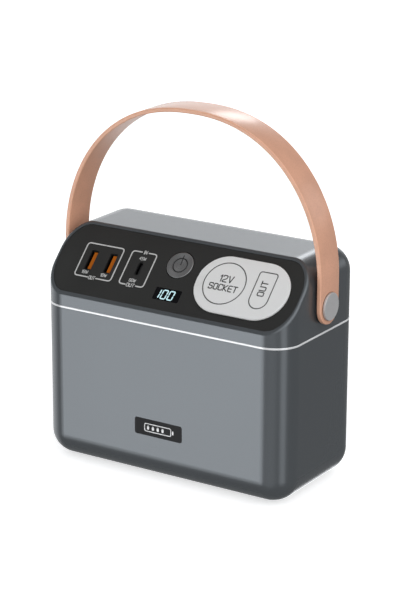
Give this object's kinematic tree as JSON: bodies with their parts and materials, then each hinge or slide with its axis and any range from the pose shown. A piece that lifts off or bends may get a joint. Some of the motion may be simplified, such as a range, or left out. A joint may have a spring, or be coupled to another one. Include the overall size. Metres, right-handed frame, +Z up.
{
  "type": "power station",
  "caption": "Portable power station with a slanted control face, USB and vehicle sockets under a soft cover, and an arched carrying strap.",
  "frame": {"origin": "centre of the footprint on the surface that the feet stand on", "axes": "+X to the right seen from the front, -Y towards the front, +Z up"},
  "size_m": [0.1914, 0.09, 0.2319],
  "materials": {
    "case_paint": "satin metallic slate paint",
    "trim_chrome": "mirror polished",
    "frame_plastic": "moulded",
    "feet_rubber": "matt",
    "panel_black": "fine matt",
    "badge_black": "gloss",
    "port_steel": "tinned",
    "tongue_orange": "moulded",
    "tongue_black": "moulded",
    "button_metal": "satin metallic",
    "window_smoke": "polished",
    "socket_black": "moulded",
    "socket_steel": "nickel plated",
    "contact_brass": "gold flash",
    "cover_silicone": "matt",
    "strap_leather": "smooth, painted edges",
    "rivet_aluminium": "satin anodised",
    "pivot_nylon": "natural nylon",
    "hardware_steel": "zinc plated",
    "cell_wrap": "shrink wrapped",
    "nickel_strip": "nickel",
    "board_green": "solder mask",
    "sink_aluminium": "extruded"
  },
  "bodies": {
    "case": {"lower_housing": "case_paint", "upper_housing": "case_paint", "trim_ring": "trim_chrome", "seam_frame": "frame_plastic", "rubber_feet": "feet_rubber", "badge_plate": "badge_black", "control_panel": "panel_black", "usb_a_shells": "port_steel", "usb_a_tongues": "tongue_orange", "usb_c_shell": "port_steel", "usb_c_tongue": "tongue_black", "button_guide": "frame_plastic", "button_switch": "tongue_black", "display_window": "window_smoke", "display_module": "frame_plastic", "socket_collar": "socket_black", "socket_can": "socket_steel", "socket_insulator": "socket_black", "socket_contact": "contact_brass", "socket_nut": "frame_plastic", "jump_housing": "socket_black", "jump_contacts": "contact_brass", "cover_anchor": "cover_silicone", "rivet_left": "rivet_aluminium", "rivet_right": "rivet_aluminium", "pivot_washers": "pivot_nylon", "pivot_bushes": "pivot_nylon", "pivot_nuts": "hardware_steel", "battery_cells": "cell_wrap", "cell_holder_lower": "frame_plastic", "cell_holder_upper": "frame_plastic", "bus_bars": "nickel_strip", "tray_screws": "hardware_steel", "bms_board": "board_green", "board_spacers": "frame_plastic", "main_board": "board_green", "heat_sink": "sink_aluminium", "port_board": "board_green", "board_screws": "hardware_steel"},
    "button": {"power_button": "button_metal"},
    "cover": {"port_cover": "cover_silicone"},
    "handle": {"handle_strap": "strap_leather"}
  },
  "joints": [
    {"name": "handle_hinge", "type": "hinge", "parent": "case", "child": "handle", "pos_m": [0, 0, 0.1205], "axis": [1, 0, 0], "range_deg": [-90, 90]},
    {"name": "button_press", "type": "slide", "parent": "case", "child": "button", "axis": [0, 0.7133, -0.7009], "range_m": [0, 0.0008], "stiffness_N_per_m": 900, "springref_m": -0.0008},
    {"name": "cover_hinge", "type": "hinge", "parent": "case", "child": "cover", "pos_m": [0.0725, -0.02706, 0.13154], "axis": [0, 0.7009, 0.7133], "range_deg": [0, 100]}
  ]
}
